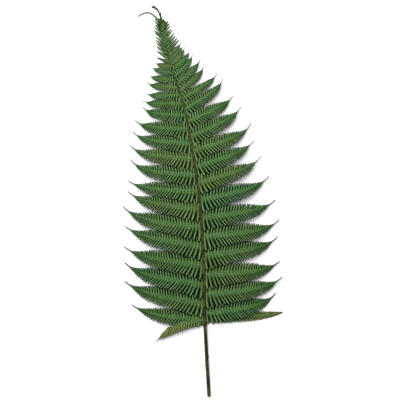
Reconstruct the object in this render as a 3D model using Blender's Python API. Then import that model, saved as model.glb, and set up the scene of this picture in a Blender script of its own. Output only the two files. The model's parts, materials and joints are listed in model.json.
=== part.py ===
"""A cut bracken frond, lying face up on a table.

The frond is one leaf that grew as one piece: a woody stalk, the midrib that it runs on into,
two rows of side fronds (pinnae) cut to their ribs into leaflets, and a tip of plain lobes.
All of it is one closed solid, joined by one union. It lies along +Y with its cut end at -Y,
and +Z is up. The origin is under the middle of its box. The midrib arches a little over the
table, and the pinnae hang from it to the table on both sides.
"""

import math
import random

import bmesh
import bpy
from mathutils import Matrix, Vector

# Every length below is in millimetres and every angle in degrees.
MM = 0.001
SEED = 41

# The line of stalk and midrib from the cut end to the curled tip: sideways, and along the frond.
MIDRIB_LINE = (
    (3.8, 0), (-1.6, 100), (-2.8, 163), (-7.3, 241), (-15.7, 304), (-26.6, 364),
    (-36.0, 396), (-47.0, 430), (-53.4, 460), (-58.0, 486), (-61.6, 494), (-69.0, 501),
)
STALK_RADIUS = 2.3
TAPER = 0.80
TAPER_POWER = 2.6
MIDRIB_SIDES = 8
MIDRIB_RINGS = 34
ARCH = 12.0
ARCH_FROM = 0.08
ARCH_TO = 0.97

# Down the midrib: where, measured from the cut end, and how large things are there.
FIRST_PINNA = 106.6
LAST_LOBE = 483.0
PITCH = (
    (90, 24.2), (140, 24.9), (215, 24.0), (262, 21.3), (345, 18.6), (366, 15.0), (384, 10.6),
    (410, 9.4), (430, 6.4), (445, 4.9), (456, 4.2), (470, 3.9), (500, 3.6),
)
LEFT_LENGTH = (
    (90, 103), (118, 111), (170, 110), (217, 106), (262, 97), (303, 87), (341, 73), (374, 54),
    (401, 42), (421, 26.5), (432, 18), (447, 17.8), (458, 16.8), (469, 15.4), (480, 12.6),
    (500, 5.0),
)
RIGHT_LENGTH = (
    (90, 95), (118, 102), (170, 101), (217, 97.5), (262, 90), (303, 84), (341, 76), (366, 66),
    (382, 56), (400, 45), (420, 35), (436, 27), (446, 21.5), (457, 17), (467, 13.8), (478, 11.2),
    (500, 5.0),
)
LEFT_ANGLE = ((118, 80), (262, 78), (345, 76), (390, 72), (424, 58), (440, 48), (500, 44))
RIGHT_ANGLE = (
    (118, 85), (262, 83), (345, 78), (380, 74), (395, 68), (440, 61), (480, 56), (500, 50),
)
LOBE_BELOW = 22.5

# The three lowest pinnae: where on the midrib, side (-1 left), length, angle, width against the
# others, early and late bend.
LOWEST_PINNAE = (
    (97.5, -1, 72.0, 88.2, 0.55, -47.0, 0.0),
    (102.3, 1, 99.0, 91.8, 0.55, 5.0, 8.0),
    (99.5, -1, 102.0, 84.5, 0.85, 10.0, 25.0),
)

# How a pinna or a lobe runs: its bends towards the frond's tip, its rise over the table, and the
# share of it that bears leaflets.
EARLY_BEND = (-6.0, 7.0)
LATE_BEND = (32.0, 56.0)
LOBE_BENDS = (4.0, 8.0)
LENGTH_SPREAD = (0.96, 1.05)
LATE_POWER = 5
RISE = 0.045
FALL_POWER = 1.7
TIP_LIFT = (-3.0, 4.0)
TAIL_FROM = 0.86

# Leaflets: their length on each side against the pitch of the pinnae, angle, slope and fall-off
# along the pinna. Each is a tooth with a blunt tip of two points where it is long enough.
LOWER_REACH = 0.60
UPPER_REACH = 0.54
LEAFLET_ANGLE = 67.0
LOWER_SLOPE = 4.0
UPPER_SLOPE = -15.0
LEAFLET_LENGTH = (
    (0.0, 1.04), (0.12, 1.0), (0.38, 1.0), (0.52, 0.92), (0.64, 0.75), (0.73, 0.52),
    (0.80, 0.31), (0.86, 0.19), (0.93, 0.115), (1.0, 0.04),
)
LEAFLET_PITCH = 7.1
LEAFLET_PITCH_SMALL = 3.4
FULL_PITCH_FROM = 90.0
BLUNT_ABOVE = 4.0
NEAR_CORNER = (0.90, 0.23)
FAR_CORNER = (1.0, -0.16)
CLEAR_OF_MIDRIB = 3.0

# The blade of a pinna along its rib, and of a lobe: half width at each share, and the thickness.
RIB_HALF_WIDTH = 1.15
RIB_TAPER = 0.75
TAIL_MIDDLE = 0.93
LOBE_SHAPE = ((0.0, 0.30), (0.45, 0.36), (0.8, 0.22))
BLADE = 0.8


def between(keys, where):
    """Read a row of (place, value) pairs at any place, with straight runs between them."""
    if where <= keys[0][0]:
        return keys[0][1]
    for (low, first), (high, last) in zip(keys, keys[1:]):
        if where <= high:
            return first + (last - first) * (where - low) / (high - low)
    return keys[-1][1]


def smooth_line(points, steps=24):
    """A Catmull-Rom curve through points, as a list of plane vectors."""
    knots = [Vector(p) for p in points]
    knots = [2 * knots[0] - knots[1]] + knots + [2 * knots[-1] - knots[-2]]
    line = []
    for a, b, c, d in zip(knots, knots[1:], knots[2:], knots[3:]):
        for step in range(steps):
            t = step / steps
            line.append(0.5 * (2 * b + (c - a) * t + (2 * a - 5 * b + 4 * c - d) * t * t
                               + (3 * b - a - 3 * c + d) * t ** 3))
    line.append(knots[-2])
    return line


class Midrib:
    """The stalk and midrib, read by the distance from the cut end."""

    def __init__(self):
        self.line = smooth_line(MIDRIB_LINE)
        self.marks = [0.0]
        for a, b in zip(self.line, self.line[1:]):
            self.marks.append(self.marks[-1] + (b - a).length)
        self.length = self.marks[-1]

    def plan(self, where):
        """The point and the heading, as an angle from +X, seen from above."""
        where = min(max(where, 0.0), self.length)
        i = 0
        while i < len(self.marks) - 2 and self.marks[i + 1] < where:
            i += 1
        a, b = self.line[i], self.line[i + 1]
        t = (where - self.marks[i]) / (self.marks[i + 1] - self.marks[i])
        run = b - a
        return a.lerp(b, t), math.atan2(run.y, run.x)

    def radius(self, where):
        return STALK_RADIUS * (1 - TAPER * (where / self.length) ** TAPER_POWER)

    def height(self, where):
        """Height of the centre: the flat underside lies on the table at both ends."""
        share = (where / self.length - ARCH_FROM) / (ARCH_TO - ARCH_FROM)
        arch = ARCH * math.sin(math.pi * min(max(share, 0.0), 1.0)) ** 2
        return self.radius(where) * math.cos(math.pi / MIDRIB_SIDES) + arch

    def point(self, where):
        where = min(max(where, 0.0), self.length)
        flat, _ = self.plan(where)
        return Vector((flat.x, flat.y, self.height(where)))


def midrib_mesh(midrib):
    """A tapered tube of flat sides, closed at both ends, with one side facing the table."""
    bm = bmesh.new()
    rings = []
    for ring in range(MIDRIB_RINGS + 1):
        where = midrib.length * ring / MIDRIB_RINGS
        centre = midrib.point(where)
        along = (midrib.point(where + 1) - midrib.point(where - 1)).normalized()
        across = along.cross(Vector((0, 0, 1))).normalized()
        up = across.cross(along)
        verts = []
        for side in range(MIDRIB_SIDES):
            turn = 2 * math.pi * (side + 0.5) / MIDRIB_SIDES
            out = across * math.sin(turn) + up * math.cos(turn)
            verts.append(bm.verts.new(centre + out * midrib.radius(where)))
        rings.append(verts)
    for first, second in zip(rings, rings[1:]):
        for side in range(MIDRIB_SIDES):
            after = (side + 1) % MIDRIB_SIDES
            bm.faces.new((first[side], first[after], second[after], second[side]))
    bm.faces.new(rings[0])
    bm.faces.new(rings[-1])
    return bm


class Pinna:
    """One side frond: its rib as a bent line, and the slopes of the leaflets on it."""

    STEPS = 48

    def __init__(self, midrib, where, side, length, angle, number, bends=None):
        chance = random.Random(SEED + number)
        length *= chance.uniform(*LENGTH_SPREAD)
        self.side = side
        self.length = length
        self.pitch = between(PITCH, where)
        early = chance.uniform(*EARLY_BEND)
        late = chance.uniform(*LATE_BEND)
        if bends:
            early, late = bends
        lift = max(0.0, chance.uniform(*TIP_LIFT))
        angle += chance.uniform(-2.0, 2.0)
        spot, heading = midrib.plan(where)
        start = midrib.height(where)
        self.spots = []
        self.headings = []
        at = Vector(spot)
        for step in range(self.STEPS + 1):
            share = step / self.STEPS
            bend = early * share + late * share ** LATE_POWER
            turn = heading - side * math.radians(angle - bend)
            height = (start - lift) * (1 - share ** FALL_POWER) + lift
            height += RISE * length * math.sin(math.pi * share)
            self.spots.append(Vector((at.x, at.y, height)))
            self.headings.append(turn)
            at = at + Vector((math.cos(turn), math.sin(turn))) * length / self.STEPS

    def spot(self, share):
        """The rib's point, its direction and the level direction towards the frond's tip."""
        place = min(max(share, 0.0), 1.0) * self.STEPS
        i = min(int(place), self.STEPS - 1)
        t = place - i
        turn = self.headings[i] * (1 - t) + self.headings[i + 1] * t
        along = (self.spots[i + 1] - self.spots[i]).normalized()
        tipward = Vector((-math.sin(turn), math.cos(turn), 0)) * self.side
        return self.spots[i].lerp(self.spots[i + 1], t), along, tipward

    def edge(self, share, row, out):
        """A point beside the rib. Row is 1 on the side towards the frond's tip, else -1."""
        centre, _, tipward = self.spot(share)
        return centre + self.sideways(tipward, row) * out

    @staticmethod
    def sideways(tipward, row):
        slope = math.radians(UPPER_SLOPE if row > 0 else LOWER_SLOPE)
        return tipward * row * math.cos(slope) + Vector((0, 0, math.sin(slope)))

    def leaflet(self, share, row, reach, back):
        """A point on a leaflet: reach along it, and back across it towards the midrib."""
        centre, along, tipward = self.spot(share)
        out = self.sideways(tipward, row)
        lean = math.radians(LEAFLET_ANGLE)
        way = along * math.cos(lean) + out * math.sin(lean)
        across = along * math.sin(lean) - out * math.cos(lean)
        return centre + way * reach - across * back


def blade_mesh(rows, teeth, tip):
    """A thin closed blade, split into triangles alike on both faces.

    Rows holds the two edge points at each station of the rib, teeth the tip points of the
    leaflet after each station on each side, and tip is the far end.
    """
    bm = bmesh.new()
    half = Vector((0, 0, BLADE / 2))

    def pair(point):
        level = Vector((point.x, point.y, max(point.z, BLADE / 2)))
        return bm.verts.new(level + half), bm.verts.new(level - half)

    edges = [[pair(p) for p in row] for row in rows]
    tips = [[[pair(p) for p in tooth] for tooth in both] for both in teeth]
    end = pair(tip)

    def skin(a, b, c):
        bm.faces.new((a[0], b[0], c[0]))
        bm.faces.new((c[1], b[1], a[1]))

    rims = [[], []]
    for i, (near, far) in enumerate(zip(edges, edges[1:])):
        skin(near[0], near[1], far[1])
        skin(near[0], far[1], far[0])
        for row in (0, 1):
            points = tips[i][row]
            fan = points + [far[row]]
            for a, b in zip(fan, fan[1:]):
                skin(near[row], a, b)
            rims[row] += [near[row]] + points
    skin(edges[-1][0], edges[-1][1], end)
    around = rims[0] + [edges[-1][0], end, edges[-1][1]] + rims[1][::-1]
    for a, b in zip(around, around[1:] + around[:1]):
        bm.faces.new((a[0], a[1], b[1]))
        bm.faces.new((a[0], b[1], b[0]))
    bmesh.ops.recalc_face_normals(bm, faces=bm.faces)
    return bm


def leafy_pinna(midrib, where, pinna, width):
    """A pinna's blade: the rib, two rows of leaflets that shorten outwards, and a bare tail."""
    start = (midrib.radius(where) + CLEAR_OF_MIDRIB) / pinna.length
    growth = min(pinna.length / FULL_PITCH_FROM, 1)
    pitch = LEAFLET_PITCH_SMALL + (LEAFLET_PITCH - LEAFLET_PITCH_SMALL) * growth
    count = max(3, round((TAIL_FROM - start) * pinna.length / pitch))
    step = (TAIL_FROM - start) / count
    shares = [0.0] + [start + step * i for i in range(count + 1)] + [TAIL_MIDDLE]
    rows = []
    teeth = []
    for share in shares:
        out = RIB_HALF_WIDTH * (1 - RIB_TAPER * share ** 3)
        rows.append([pinna.edge(share, row, out) for row in (1, -1)])
    for station, share in enumerate(shares[:-1]):
        middle = share + step / 2
        both = []
        for row, share_of_pitch in ((1, UPPER_REACH), (-1, LOWER_REACH)):
            reach = share_of_pitch * width * pinna.pitch * between(LEAFLET_LENGTH, middle)
            corners = (NEAR_CORNER, FAR_CORNER) if reach > BLUNT_ABOVE else ((1.0, 0.0),)
            bare = station == 0 or station > count
            both.append([] if bare else [
                pinna.leaflet(middle, row, reach * out, step * pinna.length * back)
                for out, back in corners])
        teeth.append(both)
    return blade_mesh(rows, teeth, pinna.spot(1.0)[0])


def plain_lobe(pinna):
    """One lobe of the frond's tip: a small lance-shaped blade without leaflets."""
    rows = []
    for share, wide in LOBE_SHAPE:
        rows.append([pinna.edge(share, row, wide * pinna.pitch) for row in (1, -1)])
    teeth = [[[], []] for _ in rows[1:]]
    return blade_mesh(rows, teeth, pinna.spot(1.0)[0])


def all_blades(midrib):
    """Every pinna and lobe, from the lowest up to the tip, left and right in turn."""
    blades = []
    for number, (where, side, length, angle, width, early, late) in enumerate(LOWEST_PINNAE):
        pinna = Pinna(midrib, where, side, length, angle, number, (early, late))
        blades.append(leafy_pinna(midrib, where, pinna, width))
    where = FIRST_PINNA
    side = 1
    number = len(LOWEST_PINNAE)
    while where < LAST_LOBE:
        length = between(RIGHT_LENGTH if side > 0 else LEFT_LENGTH, where)
        angle = between(RIGHT_ANGLE if side > 0 else LEFT_ANGLE, where)
        bends = LOBE_BENDS if length < LOBE_BELOW else None
        pinna = Pinna(midrib, where, side, length, angle, number, bends)
        if pinna.length > LOBE_BELOW:
            blades.append(leafy_pinna(midrib, where, pinna, 1.0))
        else:
            blades.append(plain_lobe(pinna))
        where += pinna.pitch / 2
        side = -side
        number += 1
    return blades


def leaf_material():
    """Dull mid green, a little waxy."""
    material = bpy.data.materials.new("leaf_green")
    material.use_nodes = True
    shader = material.node_tree.nodes["Principled BSDF"]
    shader.inputs["Base Color"].default_value = (0.050, 0.140, 0.045, 1.0)
    shader.inputs["Roughness"].default_value = 0.55
    shader.inputs["Metallic"].default_value = 0.0
    material.diffuse_color = (0.050, 0.140, 0.045, 1.0)
    return material


def as_object(bm, name, collection):
    """Turn millimetres into metres and put the mesh in the scene."""
    bmesh.ops.transform(bm, matrix=Matrix.Scale(MM, 4), verts=bm.verts)
    bmesh.ops.recalc_face_normals(bm, faces=bm.faces)
    mesh = bpy.data.meshes.new(name)
    bm.to_mesh(mesh)
    bm.free()
    thing = bpy.data.objects.new(name, mesh)
    collection.objects.link(thing)
    return thing


def union_with(body, collection):
    """Join everything in the collection to the body, then remove the collection's objects."""
    joint = body.modifiers.new("grown_together", "BOOLEAN")
    joint.operation = "UNION"
    joint.solver = "EXACT"
    joint.operand_type = "COLLECTION"
    joint.collection = collection
    evaluated = body.evaluated_get(bpy.context.evaluated_depsgraph_get())
    joined = bpy.data.meshes.new_from_object(evaluated)
    body.modifiers.remove(joint)
    body.data = joined
    for thing in list(collection.objects):
        bpy.data.objects.remove(thing)
    bpy.data.collections.remove(collection)


def centre_box(body):
    """Move the mesh so that the origin lies under the middle of its box."""
    corners = [vertex.co for vertex in body.data.vertices]
    low = [min(c[i] for c in corners) for i in range(3)]
    high = [max(c[i] for c in corners) for i in range(3)]
    middle = Vector(((low[0] + high[0]) / 2, (low[1] + high[1]) / 2, low[2]))
    body.data.transform(Matrix.Translation(-middle))


def build():
    for thing in list(bpy.data.objects):
        bpy.data.objects.remove(thing)
    midrib = Midrib()
    scene = bpy.context.scene.collection
    frond = as_object(midrib_mesh(midrib), "frond", scene)
    blades = bpy.data.collections.new("blades")
    scene.children.link(blades)
    for number, bm in enumerate(all_blades(midrib)):
        as_object(bm, f"blade_{number:02d}", blades)
    union_with(frond, blades)
    centre_box(frond)
    frond.data.materials.clear()
    frond.data.materials.append(leaf_material())


build()
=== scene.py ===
import json
import math
import random

import bpy
import numpy as np
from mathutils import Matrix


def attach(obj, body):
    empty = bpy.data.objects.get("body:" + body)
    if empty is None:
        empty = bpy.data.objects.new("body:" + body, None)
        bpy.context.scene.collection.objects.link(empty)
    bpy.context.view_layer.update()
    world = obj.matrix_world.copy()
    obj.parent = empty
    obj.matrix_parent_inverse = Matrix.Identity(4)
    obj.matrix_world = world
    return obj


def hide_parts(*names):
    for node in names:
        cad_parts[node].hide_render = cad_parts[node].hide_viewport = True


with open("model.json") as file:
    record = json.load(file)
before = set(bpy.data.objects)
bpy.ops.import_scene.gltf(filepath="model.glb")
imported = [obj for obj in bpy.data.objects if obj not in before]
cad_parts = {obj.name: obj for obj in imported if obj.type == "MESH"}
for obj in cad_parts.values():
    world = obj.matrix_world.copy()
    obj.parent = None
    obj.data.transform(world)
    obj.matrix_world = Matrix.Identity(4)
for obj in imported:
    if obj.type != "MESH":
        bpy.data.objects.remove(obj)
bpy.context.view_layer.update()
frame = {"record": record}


# Stalk and midrib. On the real frond this is one woody stem: dry, brown and ridged where it
# was cut, olive higher up, green between the lobes and dried brown at the curled tip. It lies
# on the table at both ends and arches a little between them. Lengths here are millimetres.
MM = 0.001
MIDRIB_LINE = (
    (3.8, 0), (-1.6, 100), (-2.8, 163), (-7.3, 241), (-15.7, 304), (-26.6, 364),
    (-36.0, 396), (-47.0, 430), (-53.4, 460), (-58.0, 486), (-61.6, 494), (-69.0, 501),
)
STALK_RADIUS = 2.3
TAPER = 0.80
TAPER_POWER = 2.6
FLAT_SIDE = math.cos(math.pi / 8)
ARCH = 12.0
ARCH_FROM = 0.08
ARCH_TO = 0.97
REST_SPOT = 10.0
END_CLEAR = 0.3
STALK_RINGS = 460
STALK_SIDES = 28
STALK_FIT = 0.955
STALK_LOWEST = 0.02
GROOVE_DEPTH = 0.17
GROOVE_TURN = 0.5
GROOVE_FROM = 70.0
GROOVE_GROWS = 60.0
RIDGES = 5
RIDGE_HEIGHT = 0.022
RIDGE_WAVE = 9.0
RIDGE_WANDER = 0.35
KNOBS = 11
KNOB_SEED = 7
KNOBS_FROM = 4.0
KNOBS_TO = 100.0
KNOB_HEIGHT = 0.80
KNOB_SIZES = (0.4, 1.0)
KNOB_LONG = 1.1
KNOB_TURN = 0.35
KNOB_FACING = (0.5, 1.9)
PITH_RINGS = ((0.86, 0.0), (0.62, 0.12), (0.30, 0.30))
STALK_COLOURS = (
    (0.00, (0.018, 0.012, 0.006)), (0.10, (0.026, 0.020, 0.010)), (0.19, (0.037, 0.029, 0.010)),
    (0.34, (0.037, 0.036, 0.006)), (0.55, (0.031, 0.038, 0.005)), (0.74, (0.033, 0.050, 0.008)),
    (0.86, (0.040, 0.086, 0.015)), (0.955, (0.044, 0.100, 0.018)), (0.985, (0.040, 0.062, 0.016)),
)
STALK_STREAK = (0.016, 0.011, 0.004, 1)
STALK_BLOTCH = (0.22, 0.20, 0.07, 1)
STALK_FLANK_SHADE = (0.012, 0.009, 0.003, 1)
PITH_PALE = (0.20, 0.15, 0.08, 1)
PITH_DARK = (0.10, 0.070, 0.036, 1)
PITH_RIND = (0.028, 0.019, 0.010, 1)


def smooth_line(points, steps=24):
    """A Catmull-Rom curve through points."""
    knots = np.array(points, float)
    knots = np.vstack([2 * knots[0] - knots[1], knots, 2 * knots[-1] - knots[-2]])
    t = (np.arange(steps) / steps)[:, None]
    runs = []
    for a, b, c, d in zip(knots, knots[1:], knots[2:], knots[3:]):
        runs.append(0.5 * (2 * b + (c - a) * t + (2 * a - 5 * b + 4 * c - d) * t ** 2
                           + (3 * b - a - 3 * c + d) * t ** 3))
    return np.vstack(runs + [knots[-2:-1]])


midrib_line = smooth_line(MIDRIB_LINE)
midrib_marks = np.r_[0, np.cumsum(np.linalg.norm(np.diff(midrib_line, axis=0), axis=1))]
MIDRIB_LENGTH = midrib_marks[-1]


def midrib_plan(where):
    """The point seen from above, and the heading from +X, at a distance from the cut end."""
    where = min(max(where, 0.0), MIDRIB_LENGTH)
    i = min(max(int(np.searchsorted(midrib_marks, where)) - 1, 0), len(midrib_line) - 2)
    run = midrib_line[i + 1] - midrib_line[i]
    t = (where - midrib_marks[i]) / (midrib_marks[i + 1] - midrib_marks[i])
    return midrib_line[i] + run * t, math.atan2(run[1], run[0])


def midrib_radius(where):
    return STALK_RADIUS * (1 - TAPER * (where / MIDRIB_LENGTH) ** TAPER_POWER)


def midrib_height(where):
    share = np.clip((where / MIDRIB_LENGTH - ARCH_FROM) / (ARCH_TO - ARCH_FROM), 0, 1)
    return midrib_radius(where) * FLAT_SIDE + ARCH * np.sin(math.pi * share) ** 2


rest = frame["record"]["mounts"][0]["pos_m"]
SHIFT = np.r_[np.array(rest[:2]) / MM - midrib_plan(REST_SPOT)[0], 0.0]


def make_piece(name, points, faces, materials, marks, picks=None):
    """A mesh piece from points in millimetres on the frond's own line."""
    mesh = bpy.data.meshes.new(name)
    mesh.from_pydata(((points + SHIFT) * MM).tolist(), [], [list(f) for f in faces])
    mesh.shade_smooth()
    for material in materials:
        mesh.materials.append(material)
    for mark, values in marks.items():
        layer = mesh.attributes.new(mark, "FLOAT", "POINT")
        layer.data.foreach_set("value", np.asarray(values, np.float32))
    if picks is not None:
        mesh.polygons.foreach_set("material_index", np.asarray(picks, np.int32))
    piece = bpy.data.objects.new(name, mesh)
    bpy.context.scene.collection.objects.link(piece)
    return piece


def unit(vectors):
    return vectors / np.linalg.norm(vectors, axis=-1, keepdims=True)


def turns_around(sides):
    """The turns of a tube's corners, and how far each corner is from its top."""
    turn = 2 * math.pi * np.arange(sides) / sides
    return turn, np.minimum(turn, 2 * math.pi - turn)


def tube(line, radii, sides):
    """A closed tube. Radii has one row of values around it for each point of the line."""
    along = unit(np.gradient(line, axis=0))
    across = unit(np.cross(along, (0, 0, 1)))
    up = np.cross(across, along)
    turn, _ = turns_around(sides)
    out = across[:, None] * np.sin(turn)[:, None] + up[:, None] * np.cos(turn)[:, None]
    points = (line[:, None] + out * radii[:, :, None]).reshape(-1, 3)
    faces = []
    for ring in range(len(line) - 1):
        for side in range(sides):
            after = (side + 1) % sides
            low = ring * sides
            high = low + sides
            faces.append((low + side, low + after, high + after, high + side))
    last = (len(line) - 1) * sides
    faces.append(tuple(range(sides))[::-1])
    faces.append(tuple(last + side for side in range(sides)))
    return points, faces


def new_material(name, colour, roughness):
    material = bpy.data.materials.new(name)
    material.use_nodes = True
    shader = material.node_tree.nodes["Principled BSDF"]
    shader.inputs["Base Color"].default_value = (*colour, 1)
    shader.inputs["Roughness"].default_value = roughness
    return material, material.node_tree, shader


def add_node(tree, kind, inputs=None, **settings):
    """A shader node. Inputs maps a socket to a value or to the output that feeds it."""
    node = tree.nodes.new(kind)
    for key, value in settings.items():
        setattr(node, key, value)
    for socket, value in (inputs or {}).items():
        if isinstance(value, bpy.types.NodeSocket):
            tree.links.new(value, node.inputs[socket])
        else:
            node.inputs[socket].default_value = value
    return node


def mark_of(tree, name):
    """A number that the piece's mesh carries at each of its points."""
    return add_node(tree, "ShaderNodeAttribute", attribute_name=name).outputs["Fac"]


def maths(tree, operation, first, second=0.0, third=0.0):
    inputs = {0: first, 1: second, 2: third}
    return add_node(tree, "ShaderNodeMath", inputs, operation=operation).outputs[0]


def fade(tree, value, low, high, start=0.0, end=1.0):
    """A smooth step of value between low and high."""
    inputs = {"Value": value, "From Min": low, "From Max": high, "To Min": start, "To Max": end}
    node = add_node(tree, "ShaderNodeMapRange", inputs, interpolation_type="SMOOTHSTEP")
    return node.outputs["Result"]


def mixed(tree, share, first, second, blend="MIX"):
    inputs = {0: share, 6: first, 7: second}
    node = add_node(tree, "ShaderNodeMix", inputs, data_type="RGBA", blend_type=blend)
    return node.outputs[2]


def new_group(name, inputs, outputs):
    """A node group with named sockets. Returns its tree, its input node and its output node."""
    group = bpy.data.node_groups.new(name, "ShaderNodeTree")
    for socket, value in inputs.items():
        made = group.interface.new_socket(socket, in_out="INPUT", socket_type="NodeSocketFloat")
        made.default_value = value
    for socket in outputs:
        group.interface.new_socket(socket, in_out="OUTPUT", socket_type="NodeSocketFloat")
    return group, group.nodes.new("NodeGroupInput"), group.nodes.new("NodeGroupOutput")


def use_group(tree, group, **values):
    node = tree.nodes.new("ShaderNodeGroup")
    node.node_tree = group
    for socket, value in values.items():
        node.inputs[socket].default_value = value
    return node


mottle, given, made = new_group("mottle", {"Scale": 200.0, "Low": 0.35, "High": 0.65}, ["Mask"])
place = add_node(mottle, "ShaderNodeTexCoord").outputs["Object"]
noise = add_node(mottle, "ShaderNodeTexNoise", {
    "Vector": place, "Scale": given.outputs["Scale"], "Detail": 3.0}).outputs["Fac"]
mottle.links.new(
    fade(mottle, noise, given.outputs["Low"], given.outputs["High"]), made.inputs["Mask"])

fibre, given, made = new_group("fibre", {"Streaks": 14.0, "Runs": 5.0}, ["Mask"])
turned = maths(fibre, "MULTIPLY", mark_of(fibre, "turn"), given.outputs["Streaks"])
run = maths(fibre, "MULTIPLY", mark_of(fibre, "share"), given.outputs["Runs"])
streak = add_node(fibre, "ShaderNodeCombineXYZ", {"X": turned, "Y": run}).outputs[0]
noise = add_node(fibre, "ShaderNodeTexNoise", {
    "Vector": streak, "Scale": 1.0, "Detail": 4.0, "Roughness": 0.6}).outputs["Fac"]
fibre.links.new(fade(fibre, noise, 0.30, 0.70), made.inputs["Mask"])

# The stalk's marks: share is 0 at the cut end and 1 at the tip, turn is 0 at the top of the stalk
# and 1 under it, and core is 1 at the bark of the cut end and less towards its middle.
stalk_skin, tree, shader = new_material("stalk_skin", STALK_COLOURS[2][1], 0.6)
ramp = add_node(tree, "ShaderNodeValToRGB", {"Fac": mark_of(tree, "share")})
while len(ramp.color_ramp.elements) < len(STALK_COLOURS):
    ramp.color_ramp.elements.new(1.0)
for stop, (share, colour) in zip(ramp.color_ramp.elements, STALK_COLOURS):
    stop.position = share
    stop.color = (*colour, 1)
streaks = use_group(tree, fibre, Streaks=16.0, Runs=26.0).outputs["Mask"]
blotches = use_group(tree, mottle, Scale=160.0, Low=0.45, High=0.62).outputs["Mask"]
dark = maths(tree, "MULTIPLY_ADD", streaks, -0.66, 0.66)
brown = mixed(tree, dark, ramp.outputs["Color"], STALK_STREAK)
brown = mixed(tree, maths(tree, "MULTIPLY", blotches, 0.20), brown, STALK_BLOTCH)
# Painted shade: the stalk's flanks and underside are darkened, partly the stem's own darker brown
# sides; the darkening fades out before the tip.
flank_shade = maths(tree, "MULTIPLY", fade(tree, mark_of(tree, "turn"), 0.16, 0.46, 0.0, 0.85),
              fade(tree, mark_of(tree, "share"), 0.80, 0.95, 1.0, 0.0))
tree.links.new(mixed(tree, flank_shade, brown, STALK_FLANK_SHADE), shader.inputs["Base Color"])
tree.links.new(maths(tree, "MULTIPLY_ADD", streaks, -0.2, 0.72), shader.inputs["Roughness"])
shader.inputs["Specular IOR Level"].default_value = 0.06
relief = maths(tree, "ADD", streaks, maths(tree, "MULTIPLY", blotches, 0.4))
bump = add_node(tree, "ShaderNodeBump", {"Height": relief, "Strength": 0.5, "Distance": 0.0003})
tree.links.new(bump.outputs[0], shader.inputs["Normal"])

cut_pith, tree, shader = new_material("cut_pith", PITH_PALE[:3], 0.85)
ring = fade(tree, mark_of(tree, "core"), 0.55, 0.85)
grain = use_group(tree, mottle, Scale=2600.0, Low=0.35, High=0.7).outputs["Mask"]
pith = mixed(tree, grain, PITH_PALE, PITH_DARK)
tree.links.new(mixed(tree, ring, pith, PITH_RIND), shader.inputs["Base Color"])

places = np.linspace(END_CLEAR, MIDRIB_LENGTH - END_CLEAR, STALK_RINGS)
stalk_line = np.array([(*midrib_plan(w)[0], midrib_height(w)) for w in places])
turns, from_top = turns_around(STALK_SIDES)
groove = GROOVE_DEPTH * np.exp(-(from_top / GROOVE_TURN) ** 2)
opening = np.clip((places - GROOVE_FROM) / GROOVE_GROWS, 0, 1)[:, None]
wobble = np.sin(places / RIDGE_WAVE)[:, None] * RIDGE_WANDER + turns
radii = midrib_radius(places)[:, None] * (
    STALK_FIT - groove * opening - RIDGE_HEIGHT * (1 + np.cos(RIDGES * wobble)))
knob_chance = random.Random(KNOB_SEED)
for _ in range(KNOBS):
    ahead = places[:, None] - knob_chance.uniform(KNOBS_FROM, KNOBS_TO)
    facing = knob_chance.choice((-1, 1)) * knob_chance.uniform(*KNOB_FACING)
    height = KNOB_HEIGHT * knob_chance.uniform(*KNOB_SIZES)
    away = np.abs((turns - facing + math.pi) % (2 * math.pi) - math.pi)
    radii += height * np.exp(-(ahead / KNOB_LONG) ** 2 - (away / KNOB_TURN) ** 2)
points, faces = tube(stalk_line, radii, STALK_SIDES)
shares = np.repeat(places / MIDRIB_LENGTH, STALK_SIDES)
around = np.tile(from_top / math.pi, STALK_RINGS)
core = np.ones(len(points))
# The flat face at the cut end makes way for the rings of the pith, which sink in a little.
faces.pop(-2)
picks = [0] * len(faces)
outer = list(range(STALK_SIDES))
end_centre = stalk_line[0]
for size, depth in PITH_RINGS:
    ring_points = end_centre + (points[:STALK_SIDES] - end_centre) * size + (0, depth, 0)
    inner = [len(points) + side for side in range(STALK_SIDES)]
    points = np.vstack([points, ring_points])
    core = np.r_[core, np.full(STALK_SIDES, size)]
    for side in range(STALK_SIDES):
        after = (side + 1) % STALK_SIDES
        faces.append((outer[after], outer[side], inner[side], inner[after]))
        picks.append(1)
    outer = inner
faces.append(tuple(outer[::-1]))
picks.append(1)
spare = len(points) - len(shares)
points[:, 2] = np.maximum(points[:, 2], STALK_LOWEST)
stalk = make_piece("stalk_and_midrib", points, faces, [stalk_skin, cut_pith], {
    "share": np.r_[shares, np.zeros(spare)],
    "turn": np.r_[around, np.zeros(spare)],
    "core": core,
}, picks)
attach(stalk, "root")
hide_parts("frond")


# Side fronds. Each grows from the side of the midrib as a thin rib with two rows of leaflets,
# cut almost to the rib, and runs out into a long bare tail that bends towards the frond's tip.
# The row on the side of the stalk stands a little higher and covers the next side frond.
SEED = 41
FIRST_PINNA = 106.6
LAST_LOBE = 483.0
# Each of these tables gives a value at some distances along the midrib from the cut end.
PITCH = (
    (90, 24.2), (140, 24.9), (215, 24.0), (262, 21.3), (345, 18.6), (366, 15.0), (384, 10.6),
    (410, 9.4), (430, 6.4), (445, 4.9), (456, 4.2), (470, 3.9), (500, 3.6),
)
LEFT_LENGTH = (
    (90, 103), (118, 111), (170, 110), (217, 106), (262, 97), (303, 87), (341, 73), (374, 54),
    (401, 42), (421, 26.5), (432, 18), (447, 17.8), (458, 16.8), (469, 15.4), (480, 12.6),
    (500, 5.0),
)
RIGHT_LENGTH = (
    (90, 95), (118, 102), (170, 101), (217, 97.5), (262, 90), (303, 84), (341, 76), (366, 66),
    (382, 56), (400, 45), (420, 35), (436, 27), (446, 21.5), (457, 17), (467, 13.8), (478, 11.2),
    (500, 5.0),
)
LEFT_ANGLE = ((118, 80), (262, 78), (345, 76), (390, 72), (424, 58), (440, 48), (500, 44))
RIGHT_ANGLE = (
    (118, 85), (262, 83), (345, 78), (380, 74), (395, 68), (440, 61), (480, 56), (500, 50),
)
LOBE_BELOW = 22.5
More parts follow.
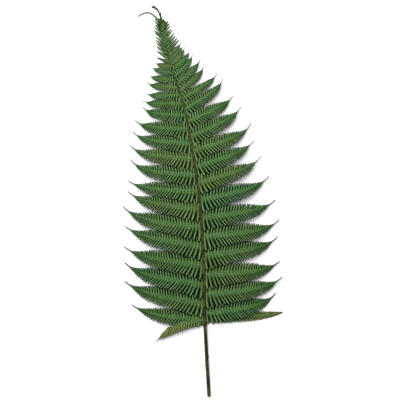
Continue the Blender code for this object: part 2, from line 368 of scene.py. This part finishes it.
# The three lowest: where on the midrib, side (-1 left), length, angle, width against the others,
# early and late bend.
LOWEST_PINNAE = (
    (97.5, -1, 72.0, 88.2, 0.55, -47.0, 0.0),
    (102.3, 1, 99.0, 91.8, 0.55, 5.0, 8.0),
    (99.5, -1, 102.0, 84.5, 0.85, 10.0, 25.0),
)
LENGTH_SPREAD = (0.96, 1.05)
ANGLE_SPREAD = (-2.0, 2.0)
EARLY_BEND = (-6.0, 7.0)
LATE_BEND = (32.0, 56.0)
LOBE_BENDS = (4.0, 8.0)
LATE_POWER = 5
RISE = 0.045
FALL_POWER = 1.7
TIP_LIFT = (-3.0, 4.0)
FULL_GROWN = 95.0
RIB_STEPS = 48
RIB_RADIUS = 0.62
RIB_TAPER = 0.80
RIB_TAPER_POWER = 0.9
RIB_GROOVE = 0.28
RIB_SMALLEST = 0.45
RIB_TO = 0.995
RIB_SIDES = 8
RIB_RINGS = 90
LOWER_REACH = 0.70
UPPER_REACH = 0.59
LOWER_SLOPE = 4.0
UPPER_SLOPE = -15.0
FOLD = 26.0
FOLD_FROM = 0.45
FOLD_POWER = 1.5
LENGTH_DRAW = 0.03
SLOPE_DRAW = 2.5
LEAN_DRAW = 2.0
LEAFLET_LENGTH = (
    (0.0, 1.20), (0.14, 1.10), (0.38, 1.02), (0.52, 0.92), (0.64, 0.75), (0.73, 0.52),
    (0.80, 0.30), (0.85, 0.15), (0.89, 0.075), (1.0, 0.03),
)
LEAFLET_GAP = 4.15
GAP_NARROWS = 0.34
GAP_SMALLEST = 0.5
LEAFLET_WIDTH = 1.02
NARROWEST = 0.10
BLUNT_FROM = 0.55
BLUNT_POWERS = (2.8, 0.6)
SPIKE_POWER = 0.8
SPIKES_BELOW = 2.0
BLUNT_ABOVE = 6.0
NOTCH = 0.06
LEAFLET_MARKS = (0.0, 0.12, 0.22, 0.30, 0.38, 0.48, 0.58, 0.68, 0.78, 0.86, 0.93, 1.0)
WEB_TO = 0.16
WEB_FADE = 0.20
WEB_OVERLAP = 1.03
WEB_ROUNDS = 0.4
SOLID_FROM = ((24, -0.10), (40, 0.22), (60, 0.56), (80, 0.68))
SOLID_FADE = 0.17
CLEAR_OF_MIDRIB = -1.8
LEAFLETS_TO = 0.975
UPPER_LEAN = 77.0
LOWER_LEAN = 58.0
LEAN_FORWARD = -12.0
UPPER_LEAN_AT_FOOT = 8.0
LOWER_LEAN_AT_FOOT = 46.0
FOOT_SHARE = 0.15
WIDER_AT_FOOT = 0.48
WIDE_STEPS = 6
BLADE = 0.30
CROWN = 0.70
CROWN_OF_WEB = 0.25
VEIN_DEPTH = 0.10
VEIN_WIDTH = 0.22
DROOP = 0.08
FLOOR_GAP = 0.06
OLDEST = 0.42
YOUNGEST = 0.85
AGE_POWER = 1.8
LOWEST_AGES = (1.45, 1.05)
LOWEST_AGE_SHARE = 0.45
LOWEST_OUTNESS = 0.62
LOWEST_TIP_SHARES = (0.95, 0.86)
LOWEST_HEIGHTS = (1.2, 0.35)
LOWEST_LEVEL = 1.0
FOOT_SHORTER = ((97, 0.68), (100, 0.50), (119, 0.0))


def between(keys, where):
    """The value of a table at some place in it."""
    return np.interp(where, [k[0] for k in keys], [k[1] for k in keys])


class Rib:
    """The bent line of one side frond or lobe, with the draws that set it apart from the next."""

    def __init__(self, where, side, length, angle, number, bends=None):
        chance = random.Random(SEED + number)
        self.length = length * chance.uniform(*LENGTH_SPREAD)
        early = chance.uniform(*EARLY_BEND)
        late = chance.uniform(*LATE_BEND)
        if bends:
            early, late = bends
        lift = max(0.0, chance.uniform(*TIP_LIFT))
        angle += chance.uniform(*ANGLE_SPREAD)
        self.chance = chance
        self.where = where
        self.side = side
        self.pitch = float(between(PITCH, where))
        spot, heading = midrib_plan(where)
        share = np.arange(RIB_STEPS + 1) / RIB_STEPS
        bend = early * share + late * share ** LATE_POWER
        self.turns = heading - side * np.radians(angle - bend)
        steps = np.c_[np.cos(self.turns), np.sin(self.turns)] * self.length / RIB_STEPS
        plan = spot + np.vstack([np.zeros(2), np.cumsum(steps[:-1], axis=0)])
        height = (midrib_height(where) - lift) * (1 - share ** FALL_POWER) + lift
        height = height + RISE * self.length * np.sin(math.pi * share)
        self.spots = np.c_[plan, height]

    def read(self, shares):
        """Points, directions and level directions towards the frond's tip, at some shares."""
        at = np.clip(np.asarray(shares, float), 0, 1) * RIB_STEPS
        i = np.minimum(at.astype(int), RIB_STEPS - 1)
        t = (at - i)[:, None]
        turn = np.interp(at, np.arange(RIB_STEPS + 1), self.turns)
        spots = self.spots[i] * (1 - t) + self.spots[i + 1] * t
        slopes = np.gradient(self.spots, axis=0)
        along = unit(slopes[i] * (1 - t) + slopes[i + 1] * t)
        tipward = np.c_[-np.sin(turn), np.cos(turn), np.zeros(len(turn))] * self.side
        return spots, along, tipward


def ease(value):
    """A smooth step from 0 to 1."""
    value = np.clip(value, 0, 1)
    return value * value * (3 - 2 * value)


def shells(marks, centres, across, up, halves, crowns):
    """Thin closed blades, one for each row of centres, with a groove along the middle.

    Centres, across and up have a row of points for each blade, at the marks from foot to tip.
    Halves are the half widths there, and crowns how far the edges curl down.
    """
    count, long = halves.shape
    t = np.linspace(-1, 1, WIDE_STEPS + 1)
    lift = -crowns[:, :, None] * t ** 2 - VEIN_DEPTH * np.exp(-(t / VEIN_WIDTH) ** 2)
    top = centres[:, :, None] + across[:, :, None] * (halves[:, :, None] * t)[..., None]
    top = top + up[:, :, None] * lift[..., None]
    thick = BLADE * (1 - t ** 4)
    under = (top - up[:, :, None] * thick[:, None])[:, 1:-1, 1:-1]
    top[..., 2] = np.maximum(top[..., 2], 2 * FLOOR_GAP + BLADE)
    under[..., 2] = np.maximum(under[..., 2], FLOOR_GAP)
    wide = WIDE_STEPS + 1
    own = long * wide
    grid = np.arange(own).reshape(long, wide)
    below = grid.copy()
    below[1:-1, 1:-1] = own + np.arange((long - 2) * (wide - 2)).reshape(long - 2, wide - 2)
    last_row = (long - 2) * (wide - 1)
    corners = {0: 0, wide - 2: 3, last_row: 1, last_row + wide - 2: 2}

    def cells(sheet):
        """Four-sided faces. Corner ones are cut from the corner, so sheets share only the rim."""
        quads = np.stack([sheet[:-1, :-1], sheet[1:, :-1], sheet[1:, 1:], sheet[:-1, 1:]], axis=-1)
        faces = []
        for cell, quad in enumerate(quads.reshape(-1, 4)):
            if cell in corners:
                quad = np.roll(quad, -corners[cell])
                faces += [quad[:3], quad[[0, 2, 3]]]
            else:
                faces.append(quad)
        return faces

    shell = cells(grid) + [face[::-1] for face in cells(below)]
    if np.cross(centres[0, 1] - centres[0, 0], across[0, 0]) @ up[0, 0] < 0:
        shell = [face[::-1] for face in shell]
    each = own + (long - 2) * (wide - 2)
    points = np.concatenate([top.reshape(count, -1, 3), under.reshape(count, -1, 3)], axis=1)
    s_grid, t_grid = np.meshgrid(marks, t, indexing="ij")
    s_all = np.r_[s_grid.ravel(), s_grid[1:-1, 1:-1].ravel()]
    t_all = np.r_[t_grid.ravel(), t_grid[1:-1, 1:-1].ravel()]
    faces = [face + start for start in np.arange(count) * each for face in shell]
    return (points.reshape(-1, 3), faces, np.tile(s_all, count), np.tile(t_all, count), each)


def leaflet_row(rib, row, width, tip_share):
    """One row of leaflets. Row is 1 on the side towards the frond's tip, else -1."""
    growth = GAP_SMALLEST + (1 - GAP_SMALLEST) * min(rib.length / FULL_GROWN, 1)
    share = (midrib_radius(rib.where) + CLEAR_OF_MIDRIB) / rib.length
    shares = []
    gaps = []
    while share < LEAFLETS_TO:
        gap = LEAFLET_GAP * growth * (1 - GAP_NARROWS * share)
        shares.append(share + gap / 2 / rib.length)
        gaps.append(gap)
        share += gap / rib.length
    shares = np.array(shares)
    gaps = np.array(gaps)
    count = len(shares)
    draws = np.array([[rib.chance.uniform(-1, 1) for _ in range(4)] for _ in range(count)])
    longer, steeper, further, lighter = draws.T
    centres, along, tipward = rib.read(shares)
    part_of_pitch = UPPER_REACH if row > 0 else LOWER_REACH
    outness = shares * tip_share
    reach = part_of_pitch * width * rib.pitch * between(LEAFLET_LENGTH, outness)
    near_foot = np.exp(-shares / FOOT_SHARE)
    if row < 0:
        reach = reach * (1 - between(FOOT_SHORTER, rib.where) * near_foot)
    reach = reach * (1 - LENGTH_DRAW + LENGTH_DRAW * longer)
    fold = FOLD * np.clip((shares - FOLD_FROM) / (1 - FOLD_FROM), 0, 1) ** FOLD_POWER
    slope = np.radians((UPPER_SLOPE if row > 0 else LOWER_SLOPE) - fold + SLOPE_DRAW * steeper)
    out = tipward * row * np.cos(slope)[:, None] + np.outer(np.sin(slope), (0, 0, 1))
    up = unit(np.cross(along, out))
    up = up * np.sign(up[:, 2:3])

    s = np.array(LEAFLET_MARKS)
    lean = UPPER_LEAN if row > 0 else LOWER_LEAN
    at_foot = UPPER_LEAN_AT_FOOT if row > 0 else LOWER_LEAN_AT_FOOT
    lean = (lean + at_foot * near_foot + LEAN_DRAW * further)[:, None]
    lean = np.radians(lean + LEAN_FORWARD * s)
    step = np.diff(s, prepend=0)
    forward = np.cumsum(np.cos(lean) * step, axis=1)
    outward = np.cumsum(np.sin(lean) * step, axis=1)
    middle = centres[:, None] + reach[:, None, None] * (
        along[:, None] * forward[..., None] + out[:, None] * outward[..., None])
    middle = middle - up[:, None] * (DROOP * reach[:, None] * s ** 2)[..., None]
    across = along[:, None] * np.sin(lean)[..., None] - out[:, None] * np.cos(lean)[..., None]

    rounding = np.clip((s - BLUNT_FROM) / (1 - BLUNT_FROM), 0, 1) ** BLUNT_POWERS[0]
    bar = (1 - rounding) ** BLUNT_POWERS[1]
    spike = (1 - s) ** SPIKE_POWER
    bluntness = np.clip((reach - SPIKES_BELOW) / (BLUNT_ABOVE - SPIKES_BELOW), 0, 1)[:, None]
    outline = np.maximum(bar * bluntness + spike * (1 - bluntness), NARROWEST)
    solid = ease((shares - between(SOLID_FROM, rib.length)) / SOLID_FADE)[:, None]
    outline = outline * (1 - solid) + (1 - WEB_ROUNDS * s ** 4 * bluntness) * solid
    freed = ease((s - WEB_TO) / WEB_FADE) * (1 - solid)
    outline = outline * (LEAFLET_WIDTH * np.sin(lean) * freed + WEB_OVERLAP * (1 - freed))
    notches = 1 - NOTCH * (np.arange(len(s)) % 2) * freed
    wider = 1 + WIDER_AT_FOOT * near_foot[:, None] * freed
    halves = gaps[:, None] / 2 * outline * notches * wider
    crowns = CROWN * halves * (CROWN_OF_WEB * bluntness + (1 - CROWN_OF_WEB) * freed)
    made = shells(s, middle, across, np.repeat(up[:, None], len(s), axis=1), halves, crowns)
    points, faces, s_all, t_all, each = made
    marks = {
        "along": s_all,
        "across": t_all,
        "chance": np.repeat(lighter, each),
        "out": np.repeat(outness, each),
    }
    return points, faces, marks


def rib_tube(rib):
    shares = np.linspace(0, RIB_TO, RIB_RINGS)
    line, _, _ = rib.read(shares)
    growth = RIB_SMALLEST + (1 - RIB_SMALLEST) * min(rib.length / FULL_GROWN, 1)
    thick = RIB_RADIUS * growth * (1 - RIB_TAPER * shares ** RIB_TAPER_POWER)
    _, from_top = turns_around(RIB_SIDES)
    radii = thick[:, None] * (1 - RIB_GROOVE * np.exp(-(from_top / GROOVE_TURN) ** 2))
    line[:, 2] = np.maximum(line[:, 2], thick + FLOOR_GAP)
    points, faces = tube(line, radii, RIB_SIDES)
    marks = {
        "along": np.zeros(len(points)),
        "across": np.zeros(len(points)),
        "chance": np.zeros(len(points)),
        "out": np.repeat(shares, RIB_SIDES),
    }
    return points, faces, marks


def gather(parts):
    """Joins (points, faces, marks, material number) parts into one set of arrays."""
    points = np.vstack([p[0] for p in parts])
    faces = []
    picks = []
    start = 0
    for own, own_faces, _, pick in parts:
        faces += [[start + int(i) for i in face] for face in own_faces]
        picks += [pick] * len(own_faces)
        start += len(own)
    marks = {name: np.concatenate([p[2][name] for p in parts]) for name in parts[0][2]}
    return points, faces, marks, picks


LEAF_DEEP = (0.011, 0.042, 0.004, 1)
LEAF_MID = (0.036, 0.100, 0.012, 1)
LEAF_GREY = (0.058, 0.120, 0.034, 1)
LEAF_OLIVE = (0.082, 0.108, 0.014, 1)
LEAF_YELLOW = (0.190, 0.225, 0.040, 1)
LEAF_BLUE = (0.014, 0.074, 0.024, 1)
LEAF_FOOT = (0.060, 0.136, 0.036, 1)
LEAF_VEIN_HIGHLIGHT = (0.205, 0.285, 0.155, 1)
LEAF_EDGE_SHADE = (0.001, 0.009, 0.001, 1)
LEAF_OUTER_SHADE = (0.008, 0.060, 0.007, 1)
LEAF_TAIL = (0.024, 0.040, 0.012, 1)
RIB_DEEP = (0.068, 0.152, 0.044, 1)
RIB_PALE = (0.110, 0.208, 0.074, 1)
RIB_OLD = (0.150, 0.160, 0.045, 1)
RIB_TAIL = (0.044, 0.050, 0.024, 1)

# The leaf's marks: along is 0 at the rib and 1 at a leaflet's end, across is 0 on its middle line
# and 1 or -1 at its edges, out is 0 at the midrib and 1 at the side frond's tip, age is below 0
# where it is young and above 0 where it is old, and chance is a draw from -1 to 1.
leaf_marks, given, made = new_group(
    "leaf_marks", {"Side Veins": 7.0}, ["Vein", "Foot", "Rim Shade", "Relief"])
beside = maths(leaf_marks, "ABSOLUTE", mark_of(leaf_marks, "across"))
near_rib = fade(leaf_marks, mark_of(leaf_marks, "along"), 0.12, 0.34, 1.0, 0.0)
leaf_marks.links.new(near_rib, made.inputs["Foot"])
# Painted highlight: a pale band along each leaflet's middle, a paler midvein widened and brightened
# towards the leaflet's end as a sheen.
vein_highlight = maths(leaf_marks, "MULTIPLY", fade(leaf_marks, beside, 0.05, 0.34, 1.0, 0.0),
             fade(leaf_marks, mark_of(leaf_marks, "along"), 0.15, 0.60, 0.35, 1.0))
phase = maths(leaf_marks, "MULTIPLY", mark_of(leaf_marks, "along"), given.outputs["Side Veins"])
phase = maths(leaf_marks, "SUBTRACT", phase, beside)
wave = maths(leaf_marks, "PINGPONG", phase, 0.5)
side_vein = fade(leaf_marks, wave, 0.0, 0.22, 1.0, 0.0)
leaf_marks.links.new(vein_highlight, made.inputs["Vein"])
# Painted shade: each leaflet's edges and end are darkened, standing in for the shade in the gaps
# between leaflets and under the next side frond, and less so on the bare tails.
far_rim = maths(leaf_marks, "SUBTRACT", 1.0, near_rib)
rim_shade = maths(leaf_marks, "MULTIPLY", fade(leaf_marks, beside, 0.32, 0.84), far_rim)
rim_shade = maths(leaf_marks, "MAXIMUM", rim_shade, fade(leaf_marks, mark_of(leaf_marks, "along"), 0.82, 1.0))
bare = fade(leaf_marks, mark_of(leaf_marks, "out"), 0.74, 0.86, 1.0, 0.25)
rim_shade = maths(leaf_marks, "MULTIPLY", rim_shade, bare)
leaf_marks.links.new(rim_shade, made.inputs["Rim Shade"])
relief = maths(leaf_marks, "MULTIPLY_ADD", side_vein, -0.5, 1.0)
leaf_marks.links.new(relief, made.inputs["Relief"])

leaf_skin, tree, shader = new_material("leaf_skin", LEAF_MID[:3], 0.5)
marks_here = use_group(tree, leaf_marks)
patches = use_group(tree, mottle, Scale=90.0, Low=0.38, High=0.62).outputs["Mask"]
specks = use_group(tree, mottle, Scale=900.0, Low=0.30, High=0.75).outputs["Mask"]
green = mixed(tree, maths(tree, "MULTIPLY_ADD", specks, 0.5, 0.3), LEAF_DEEP, LEAF_MID)
green = mixed(tree, maths(tree, "MULTIPLY", patches, 0.35), green, LEAF_GREY)
olive = fade(tree, mark_of(tree, "age"), 0.0, 1.0)
green = mixed(tree, olive, green, LEAF_OLIVE)
green = mixed(tree, fade(tree, mark_of(tree, "age"), 1.0, 2.0), green, LEAF_YELLOW)
blue = fade(tree, maths(tree, "MULTIPLY", mark_of(tree, "age"), -1.0), 0.0, 1.0)
green = mixed(tree, blue, green, LEAF_BLUE)
green = mixed(tree, maths(tree, "MULTIPLY", marks_here.outputs["Foot"], 0.7), green, LEAF_FOOT)
# Painted highlight along the leaflets' middles, on a paler midvein.
green = mixed(tree, maths(tree, "MULTIPLY", marks_here.outputs["Vein"], 0.75), green, LEAF_VEIN_HIGHLIGHT)
# Painted shade at the leaflets' edges and ends.
green = mixed(tree, maths(tree, "MULTIPLY", marks_here.outputs["Rim Shade"], 0.92), green, LEAF_EDGE_SHADE)
# Painted shade: the outer part of each side frond is darkened to a deeper green where it bends down.
outer = fade(tree, mark_of(tree, "out"), 0.50, 0.85)
green = mixed(tree, maths(tree, "MULTIPLY", outer, 0.6), green, LEAF_OUTER_SHADE)
tail = fade(tree, mark_of(tree, "out"), 0.84, 0.98)
green = mixed(tree, maths(tree, "MULTIPLY", tail, 0.8), green, LEAF_TAIL)
light = maths(tree, "MULTIPLY_ADD", mark_of(tree, "chance"), 0.16, 1.0)
grey = add_node(tree, "ShaderNodeCombineColor", {"Red": light, "Green": light, "Blue": light})
green = mixed(tree, 1.0, green, grey.outputs["Color"], "MULTIPLY")
tree.links.new(green, shader.inputs["Base Color"])
tree.links.new(maths(tree, "MULTIPLY_ADD", specks, 0.14, 0.34), shader.inputs["Roughness"])
shader.inputs["Specular IOR Level"].default_value = 0.05
bump = add_node(tree, "ShaderNodeBump", {
    "Height": marks_here.outputs["Relief"], "Strength": 0.4, "Distance": 0.0002})
tree.links.new(bump.outputs[0], shader.inputs["Normal"])

rib_skin, tree, shader = new_material("rib_skin", LEAF_VEIN_HIGHLIGHT[:3], 0.5)
specks = use_group(tree, mottle, Scale=700.0, Low=0.35, High=0.7).outputs["Mask"]
green = mixed(tree, specks, RIB_DEEP, RIB_PALE)
green = mixed(tree, fade(tree, mark_of(tree, "age"), 0.0, 1.0), green, RIB_OLD)
tail = fade(tree, mark_of(tree, "out"), 0.70, 0.93)
tree.links.new(mixed(tree, tail, green, RIB_TAIL), shader.inputs["Base Color"])
shader.inputs["Specular IOR Level"].default_value = 0.22


def side_frond(rib, width, number):
    tip_share = 1.0
    if number < len(LOWEST_AGES):
        tip_share = LOWEST_TIP_SHARES[number]
        above = rib.spots[:, 2] - LOWEST_LEVEL
        rib.spots[:, 2] = LOWEST_LEVEL + LOWEST_HEIGHTS[number] * above
    parts = [(*rib_tube(rib), 1)]
    for row in (1, -1):
        parts.append((*leaflet_row(rib, row, width, tip_share), 0))
    points, faces, marks, picks = gather(parts)
    draw = rib.chance.uniform(-1, 1)
    age = (OLDEST if draw > 0 else -YOUNGEST) * abs(draw) ** AGE_POWER
    marks["age"] = np.full(len(points), age)
    if number < len(LOWEST_AGES):
        marks["age"] = LOWEST_AGES[number] * ease(marks["out"] / LOWEST_AGE_SHARE)
        marks["out"] = marks["out"] * LOWEST_OUTNESS
    name = f"side_frond_{number:02d}"
    piece = make_piece(name, points, faces, [leaf_skin, rib_skin], marks, picks)
    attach(piece, "root")
    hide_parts("frond")


for number, (where, side, length, angle, width, early, late) in enumerate(LOWEST_PINNAE):
    side_frond(Rib(where, side, length, angle, number, (early, late)), width, number)
lobe_ribs = []
where = FIRST_PINNA
side = 1
number = len(LOWEST_PINNAE)
while where < LAST_LOBE:
    length = float(between(RIGHT_LENGTH if side > 0 else LEFT_LENGTH, where))
    angle = float(between(RIGHT_ANGLE if side > 0 else LEFT_ANGLE, where))
    bends = LOBE_BENDS if length < LOBE_BELOW else None
    rib = Rib(where, side, length, angle, number, bends)
    if rib.length > LOBE_BELOW:
        side_frond(rib, 1.0, number)
    else:
        lobe_ribs.append(rib)
    where += rib.pitch / 2
    side = -side
    number += 1


# Tip lobes. Near its tip the frond is no longer cut into side fronds with leaflets: it has a
# row of narrow plain lobes on each side, joined at their feet along the midrib. The youngest
# stand close together, and the topmost one on the left runs out into a long dry thread.
LOBE_SHAPE = (
    (0.0, 0.40), (0.35, 0.40), (0.55, 0.30), (0.80, 0.22), (0.93, 0.15), (1.0, 0.04),
)
LOBE_STEPS = 17
LOBE_TO = 0.985
LOBE_CROWN = 0.45
LOBE_NOTCH = 0.10
LOBE_AGE = 0.05
LOBE_OUTNESS = 0.75
YOUNG_LOBES = 9
YOUNG_PLACES = (474.0, 484.0)
YOUNG_LENGTH = (11.0, 6.5)
YOUNG_ANGLE = (46.0, 26.0)
YOUNG_LIFT = (0.5, 0.98)
YOUNG_AGES = (-0.6, 0.5)
YOUNG_OUTNESS = 0.50
YOUNG_PLAIN = 0.25
THREAD = (
    (-57.0, 478.5), (-61.2, 482.4), (-64.8, 485.4), (-66.8, 487.4), (-69.2, 489.3), (-71.8, 490.7),
    (-76.2, 491.4), (-79.6, 490.5), (-83.6, 488.9), (-87.0, 486.3),
)
THREAD_HIGH = 3.2
THREAD_LOW = 0.75
THREAD_FALL_POWER = 1.5
THREAD_RADII = (1.15, 0.60)
THREAD_TAPER_POWER = 0.6
THREAD_ALONG = 0.5
THREAD_ACROSS = 0.42
THREAD_OUT = (0.3, 0.9)
THREAD_AGE = 0.5


def part_way(ends, share):
    """A value on the way from the first of two ends to the second."""
    return ends[0] + (ends[1] - ends[0]) * share


def plain_lobe(rib, half_wide, crown, age, outness, plain=0.0):
    s = np.linspace(0, LOBE_TO, LOBE_STEPS)
    line, along, tipward = rib.read(s)
    halves = half_wide * between(LOBE_SHAPE, s)
    halves = halves * (1 - LOBE_NOTCH * (np.arange(LOBE_STEPS) % 2))
    up = unit(np.cross(along, tipward))
    up = up * np.sign(up[:, 2:3])
    made = shells(s, line[None], tipward[None], up[None], halves[None], crown * halves[None])
    points, faces, s_all, t_all, each = made
    marks = {
        "along": s_all,
        "across": plain + (1 - plain) * np.abs(t_all),
        "chance": np.full(each, rib.chance.uniform(-1, 1)),
        "out": s_all * outness,
        "age": np.full(each, age),
    }
    return points, faces, marks, 0


parts = [plain_lobe(rib, rib.pitch, LOBE_CROWN, LOBE_AGE, LOBE_OUTNESS) for rib in lobe_ribs]
for i in range(YOUNG_LOBES):
    share = i / (YOUNG_LOBES - 1)
    where = part_way(YOUNG_PLACES, share)
    length = part_way(YOUNG_LENGTH, share)
    angle = part_way(YOUNG_ANGLE, share)
    young = Rib(where, (-1, 1)[i % 2], length, angle, number + i, LOBE_BENDS)
    young.spots[:, 2] += part_way(YOUNG_LIFT, share)
    age = YOUNG_AGES[i % 2]
    parts.append(plain_lobe(young, young.pitch, LOBE_CROWN, age, YOUNG_OUTNESS, YOUNG_PLAIN))
thread_plan = smooth_line(THREAD)
share = np.linspace(0, 1, len(thread_plan))
thread_height = THREAD_HIGH * (1 - share) ** THREAD_FALL_POWER + THREAD_LOW
thread_line = np.c_[thread_plan, thread_height]
thick = part_way(THREAD_RADII, share ** THREAD_TAPER_POWER)
points, faces = tube(thread_line, np.repeat(thick[:, None], RIB_SIDES, axis=1), RIB_SIDES)
flat = np.zeros(len(points))
thread_marks = {
    "along": flat + THREAD_ALONG,
    "across": flat + THREAD_ACROSS,
    "chance": flat,
    "out": np.repeat(part_way(THREAD_OUT, share), RIB_SIDES),
    "age": np.repeat(THREAD_AGE * share, RIB_SIDES),
}
parts.append((points, faces, thread_marks, 0))
points, faces, marks, picks = gather(parts)
tip_lobes = make_piece("tip_lobes", points, faces, [leaf_skin, rib_skin], marks, picks)
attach(tip_lobes, "root")
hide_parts("frond")


# Dried tip. The last 24 mm of the midrib have died back and curl to the left, and the lobes on
# them have shrivelled into small dark rolls that cling to it.
ROLLS = 13
ROLLS_SEED = 11
ROLLS_NUMBERED_FROM = 200
ROLLS_PLACES = (487.0, MIDRIB_LENGTH - 4.4)
ROLL_LENGTH = (2.8, 4.6)
ROLL_ANGLE = (6.0, 30.0)
ROLL_HALF = 3.5
ROLL_WIDTHS = (0.5, 1.15)
ROLL_CROWN = 1.1
DRIED_DARK = (0.020, 0.038, 0.008, 1)
DRIED_PALE = (0.080, 0.112, 0.034, 1)

dried_skin, tree, shader = new_material("dried_skin", DRIED_DARK[:3], 0.7)
crumple = use_group(tree, mottle, Scale=1300.0, Low=0.35, High=0.65).outputs["Mask"]
tree.links.new(mixed(tree, crumple, DRIED_DARK, DRIED_PALE), shader.inputs["Base Color"])
tree.links.new(maths(tree, "MULTIPLY_ADD", crumple, 0.2, 0.6), shader.inputs["Roughness"])
shader.inputs["Specular IOR Level"].default_value = 0.15
bump = add_node(tree, "ShaderNodeBump", {"Height": crumple, "Strength": 0.5, "Distance": 0.0002})
tree.links.new(bump.outputs[0], shader.inputs["Normal"])

roll_chance = random.Random(ROLLS_SEED)
parts = []
for i in range(ROLLS):
    where = part_way(ROLLS_PLACES, i / (ROLLS - 1))
    length = roll_chance.uniform(*ROLL_LENGTH)
    angle = roll_chance.uniform(*ROLL_ANGLE)
    roll = Rib(where, (-1, 1)[i % 2], length, angle, ROLLS_NUMBERED_FROM + i)
    half_wide = ROLL_HALF * roll_chance.uniform(*ROLL_WIDTHS)
    parts.append(plain_lobe(roll, half_wide, ROLL_CROWN, age=0.5, outness=1.0))
points, faces, marks, picks = gather(parts)
dried_tip = make_piece("dried_tip", points, faces, [dried_skin], marks, picks)
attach(dried_tip, "root")
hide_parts("frond")


# Table and light. The frond lies on a plain white table, under a wide soft light, and the
# camera looks straight down on it.
PHOTO_WIDE = 400
MM_PER_PIXEL = 500 / 390
STALK_PIXEL = (206.0, 396)
LENS = 85.0
SENSOR = 36.0
TABLE_HALF = 3.0
TABLE_DROP = 0.0002
SKY_STRENGTH = 0.22
LAMP_WIDE = 1.5
LAMP_WATTS = 46
LAMP_PLACE = (-0.35, 0.65, 1.4)

table_mesh = bpy.data.meshes.new("table")
table_corners = [(x * TABLE_HALF, y * TABLE_HALF, 0) for x, y in ((-1, -1), (1, -1), (1, 1), (-1, 1))]
table_mesh.from_pydata(table_corners, [], [(0, 1, 2, 3)])
table = bpy.data.objects.new("table", table_mesh)
table.location.z = -TABLE_DROP
bpy.context.scene.collection.objects.link(table)
table_white = new_material("table_white", (0.9, 0.9, 0.9), 0.9)[0]
table_mesh.materials.append(table_white)

world = bpy.data.worlds.new("studio")
world.use_nodes = True
sky = world.node_tree.nodes["Background"]
sky.inputs["Color"].default_value = (1, 1, 1, 1)
sky.inputs["Strength"].default_value = SKY_STRENGTH
bpy.context.scene.world = world
lamp = bpy.data.lights.new("soft_box", "AREA")
lamp.shape = "SQUARE"
lamp.size = LAMP_WIDE
lamp.energy = LAMP_WATTS
lamp_stand = bpy.data.objects.new("soft_box", lamp)
lamp_stand.location = LAMP_PLACE
across, back, up = LAMP_PLACE
lamp_stand.rotation_euler = (-math.atan2(back, up), math.atan2(across, up), 0)
bpy.context.scene.collection.objects.link(lamp_stand)

middle = PHOTO_WIDE / 2
aim_x = (middle - STALK_PIXEL[0]) * MM_PER_PIXEL + SHIFT[0]
aim_y = (STALK_PIXEL[1] - middle) * MM_PER_PIXEL + SHIFT[1]
camera = bpy.data.cameras.new("camera")
camera.lens = LENS
camera.sensor_width = SENSOR
camera_stand = bpy.data.objects.new("camera", camera)
camera_stand.location = (aim_x * MM, aim_y * MM, PHOTO_WIDE * MM_PER_PIXEL * MM * LENS / SENSOR)
bpy.context.scene.collection.objects.link(camera_stand)
bpy.context.scene.camera = camera_stand
bpy.context.scene.view_settings.view_transform = "Standard"
